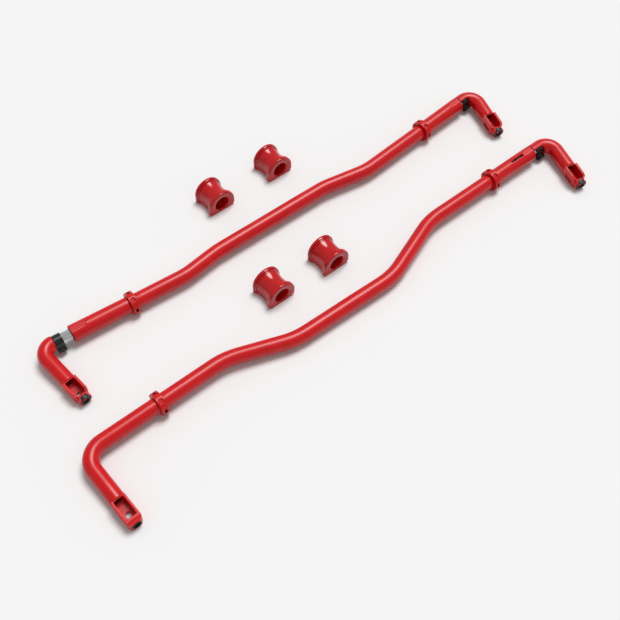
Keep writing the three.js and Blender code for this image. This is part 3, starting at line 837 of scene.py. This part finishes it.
def lock_clamp(end):
    near, far, inset, tip_gap = end["gap"], end["gap"] + end["clamp"], 0.2, 0.5
    added = [
        rod(end["clamp_radius"], near, far, segments=96),
        prism(lug_outline(), near + inset, near + end["lug"] - inset, axis="x"),
    ]
    across = clamp_screw_frame(end)
    hole_start, hole_end = CLAMP_SCREW["tip"] - tip_gap, CLAMP_SCREW["seat"] + CUT
    removed = [
        rod(STUB_HOLE_RADIUS, 0, far + CUT, segments=64),
        box(0, far + CUT, -CLAMP_SLIT / 2, CLAMP_SLIT / 2, -CUT, 0),
        rod(CLAMP_SCREW["shank"] + FIT_GAP, hole_start, hole_end, across),
        rod(CLAMP_SCREW["head"] + FIT_GAP, CLAMP_SCREW["seat"] - FIT_GAP, hole_end, across),
    ]
    return forged("lock_clamp", added, removed, voxel=0.4, soften=3)


# Elbows: from the stub round the bend to the yoke; a hood reaches back to the sleeve over the clamp
def elbow(name, end):
    clamp_end = end["gap"] + end["clamp"]
    socket_end = max(bend_start(end), clamp_end) + SOCKET_DEPTH
    start, radius = (HOOD_START, HOOD_RADIUS) if end["hooded"] else (clamp_end + FIT_GAP, TUBE_RADIUS)
    corners = [(start, 0), (end["corner"], 0), arm_end(end)]
    stations = route(corners, [ELBOW_BEND_RADIUS], step_angle=4 * DEGREE, straight_step=6)
    added = [rough(swept(stations, radius, ARM_BORE_RADIUS, edge=1.2, segments=96))]
    removed = [rod(STUB_HOLE_RADIUS, 0, socket_end, segments=64)]
    if end["hooded"]:
        removed += hood_cutters(end)
    return forged(name, added, removed, voxel=0.5, soften=8)


def hood_cutters(end):
    """Room for the clamp's ring, an opening on the arm's side, and a slot for the clamp's lug."""
    side, gap, corner = end["side"], end["gap"], HOOD_CORNER_RADIUS
    opening_end = gap + max(end["clamp"], end["lug"]) + HOOD_CLEARANCE
    far = CLAMP_LUG_REACH + HOOD_CLEARANCE
    opening = [(opening_end, far), (-CUT, far), (-CUT, HOOD_INNER_EDGE)]
    opening += arc(opening_end - corner, HOOD_INNER_EDGE + corner, corner, -90, 0, steps=2)
    half_slot = CLAMP_LUG_THICKNESS / 2 + CLAMP_ROOM
    lean = Matrix.Rotation(side * CLAMP_LUG_LEAN, 4, "X")
    return [
        rod(end["clamp_radius"] + FIT_GAP, 0, gap + end["clamp"] + CLAMP_ROOM, segments=96),
        prism([(x, side * y) for x, y in opening], -CUT, CUT),
        box(0, gap + end["lug"] + CLAMP_ROOM, -half_slot, half_slot, -CUT, 0, lean),
    ]


# Yokes: the arm enters at x = 0, the trough opens upwards, and the tip carries a liner
def yoke_outline(yoke):
    """The flat-sided body in plan, with round corners at the tip."""
    half_width, body, corner = yoke["half_width"], yoke["body"], yoke["corner"]
    outline = [(FIT_GAP, half_width), (FIT_GAP, -half_width)]
    outline += arc(body - corner, corner - half_width, corner, -90, 0, steps=6)
    outline += arc(body - corner, half_width - corner, corner, 0, 90, steps=6)
    return outline


def wall_slope(body):
    """What is taken off the walls' tops, which go down towards the tip."""
    end = body + 20
    return [(body - 8, YOKE_TOP + 1), (body - 5, YOKE_TOP - 1.2), (end, YOKE_TOP - 9), (end, YOKE_TOP + 9)]


def link_slot(yoke, trough_end):
    """The drop link's slot; its corners leave a hair of flat, so that no two points meet."""
    half_slot, corner = yoke["slot"] / 2, LINK_HOLE_RADIUS - 0.05
    middle = trough_end - LINK_HOLE_SETBACK - half_slot
    return rounded_outline(half_slot, LINK_HOLE_RADIUS, corner, middle, steps=8)


def side_pocket(trough_end):
    """The shallow recess in the outer face of a hooded end's yoke."""
    pocket_end = trough_end - POCKET_SETBACK
    half_pocket, middle = (pocket_end - POCKET_START) / 2, (pocket_end + POCKET_START) / 2
    return rounded_outline(half_pocket, POCKET_HALF_HEIGHT, POCKET_CORNER, middle, POCKET_MIDDLE)


def yoke_mesh(name, yoke, pocket_side):
    length, half_width, body = yoke["length"], yoke["half_width"], yoke["body"]
    trough_end = length - YOKE_TIP_WALL
    half_trough = TROUGH_WIDTH / 2
    added = [prism(yoke_outline(yoke), YOKE_BOTTOM, YOKE_TOP)]
    removed = [
        box(TROUGH_START, trough_end, -half_trough, half_trough, TROUGH_FLOOR, CUT),
        rod(BORE_MOUTH_RADIUS, -CUT, TROUGH_START + 1, Matrix.Translation((0, 0, BORE_MOUTH_RISE))),
        prism(wall_slope(body), -CUT, CUT, axis="y"),
        *liner_seat(yoke),
    ]
    for y in (-half_width, half_width):
        edge = Matrix.Translation((0, y, YOKE_BOTTOM)) @ Matrix.Rotation(45 * DEGREE, 4, "X")
        chamfer = (-YOKE_HALF_CHAMFER, YOKE_HALF_CHAMFER)
        removed.append(box(-CUT, length + CUT, *chamfer, *chamfer, edge))
    if body < length:
        half_deck = YOKE_DECK_HALF_WIDTH
        deck_start, deck_end = trough_end - YOKE_DECK_OVERLAP, body + YOKE_DECK_OVERHANG
        added.append(rod(YOKE_BOSS_RADIUS, body - YOKE_BOSS_ROOT, length, segments=64))
        removed.append(box(-CUT, length + CUT, -CUT, CUT, -CUT, YOKE_BOTTOM))
        removed.append(box(deck_start, deck_end, -half_deck, half_deck, YOKE_DECK, CUT))
    removed.append(prism(link_slot(yoke, trough_end), -CUT, 0))
    if pocket_side:
        depths = sorted((pocket_side * (half_width - POCKET_DEPTH), pocket_side * CUT))
        removed.append(prism(side_pocket(trough_end), *depths, axis="y"))
    return forged(name, added, removed, voxel=0.45, soften=4)


def liner_seat(yoke):
    """The round recess in the tip, with a core left standing in it where the yoke has one."""
    deep, core_end = yoke["length"] - LINER_DEPTH, yoke["length"] - CORE_SETBACK
    outer, core, out = yoke["ring"] + FIT_GAP, yoke["core"], yoke["length"] + CUT
    if not core:
        return [rod(outer, deep, out)]
    groove = [(deep, outer), (deep, core), (core_end, core), (core_end, outer)]
    return [rough(lathe(groove, looped=True)), rod(outer, core_end - 0.1, out)]


def liner(yoke):
    back, front = yoke["length"] - LINER_DEPTH + FIT_GAP, yoke["length"] + LINER_PROUD
    return rubber_ring("liner", back, front, yoke["hole"], yoke["ring"], LINER_EDGE)


def bore_shade_cap():
    """A dished black cap that closes the bore's mouth in a yoke's shoulder; its black is painted shade,
    standing in for the dark inside of an open bore.
    """
    radius, back, face, hub = BORE_MOUTH_RADIUS - 0.1, 0.1, 1.1, 1.0
    bevel, rim, lip = 0.3, 0.4, 1.4
    profile = [(back, radius - bevel), (back + bevel, radius), (face - rim, radius), (face, radius - rim)]
    profile += [(face - 0.5, radius - lip), (face - 0.7, hub)]
    return metre_mesh("bore_shade_cap", lathe(profile))


def add_yoke(name, yoke, matrix, body, pocket_side):
    forging = name + "_yoke_forging"
    mesh = yoke_mesh(forging, yoke, pocket_side)
    add_piece(forging, mesh, matrix, "red_powder_coat", body, name + "_yoke", 50 * DEGREE)
    add_piece(name + "_yoke_ring", liner(yoke), matrix, "black_rubber", body, name + "_yoke_liner")
    # The bore's black cap is painted shade for the dark mouth of the bore.
    mouth = matrix @ Matrix.Translation((0, 0, BORE_MOUTH_RISE))
    add_piece(name + "_bore_shade_cap", bore_shade_cap(), mouth, "black_rubber", body)


# Ends
def make_adjustable_end(name, end):
    mouth = mouth_frame(name)
    bar, arm, clamp = end["bar"], name + "_arm", name + "_clamp"
    tube = sleeve(name + "_sleeve_tube", end)
    add_piece(name + "_sleeve_tube", tube, mouth, "red_powder_coat", bar, name + "_sleeve")
    add_piece(name + "_seal_ring", seal(), mouth, "black_rubber", bar, name + "_mouth_seal")
    turned = mouth @ Matrix.Rotation(30 * DEGREE, 4, "X")
    shaft = stub(end)
    add_piece(name + "_stub_bar", shaft, turned, "bright_steel", arm, name + "_stub_shaft", 20 * DEGREE)
    leaned = mouth @ Matrix.Rotation(end["side"] * CLAMP_LUG_LEAN, 4, "X")
    block = lock_clamp(end)
    add_piece(clamp + "_block", block, leaned, "black_steel", clamp, name + "_lock_clamp", 50 * DEGREE)
    bolt, hole = cap_screw(**CLAMP_SCREW), leaned @ clamp_screw_frame(end)
    add_piece(clamp + "_cap_screw", bolt, hole, "black_steel", clamp, clamp + "_screw")
    bend = elbow(name + "_elbow", end)
    add_piece(name + "_elbow", bend, mouth, "red_powder_coat", arm, name + "_elbow_arm", 50 * DEGREE)
    tip = mouth @ placed(*arm_end(end), 0, end["side"] * end["turn"])
    add_yoke(name, ADJUSTABLE_YOKE, tip, arm, pocket_side=-1 if end["hooded"] else 0)


def make_fixed_end():
    bar, corners = BARS["front_bar"]
    x, y, heading = along_end(corners, True, 0)
    add_yoke("front_left", FIXED_YOKE, bar @ placed(x, y, 0, heading), "front_bar", pocket_side=0)


# Surroundings
def make_floor():
    reach = FLOOR_REACH_METRES
    corners = [(-reach, -reach, 0), (reach, -reach, 0), (reach, reach, 0), (-reach, reach, 0)]
    mesh = bpy.data.meshes.new("floor")
    mesh.from_pydata(corners, [], [(0, 1, 2, 3)])
    paper, shader = material("floor_paper", (0.80, 0.80, 0.80), roughness=0.9)
    tree = paper.node_tree
    tint(tree, shader, noise(tree, 3, 2), dark=(0.795, 0.795, 0.795), light=(0.805, 0.805, 0.805))
    mesh.materials.append(paper)
    linked("floor", mesh)


def make_sun():
    """Soft light tilted from overhead towards an azimuth, which is measured from +y to +x."""
    data = bpy.data.lights.new("softbox", "SUN")
    data.angle = SUN_WIDTH
    data.energy = SUN_STRENGTH
    linked("softbox", data).rotation_euler = (-SUN_TILT, 0, -SUN_AZIMUTH)


def make_sky():
    world = bpy.data.worlds.new("studio")
    bpy.context.scene.world = world
    world.use_nodes = True
    background = world.node_tree.nodes["Background"]
    background.inputs["Color"].default_value = (1, 1, 1, 1)
    background.inputs["Strength"].default_value = SKY_STRENGTH


def make_camera():
    data = bpy.data.cameras.new("camera")
    data.sensor_width = SENSOR_WIDTH
    data.lens = LENS
    camera = linked("camera", data)
    camera.location = (KIT_SHIFT + CAMERA_PLACE) * MM
    camera.rotation_euler = (90 * DEGREE - VIEW_PITCH, 0, -VIEW_AZIMUTH)
    bpy.context.scene.camera = camera


make_tubes()
make_bushings()
make_collars()
for end_name, end_sizes in ENDS.items():
    make_adjustable_end(end_name, end_sizes)
make_fixed_end()
make_sky()
make_sun()
make_floor()
make_camera()
bpy.context.scene.view_settings.view_transform = "Standard"
bpy.context.view_layer.update()
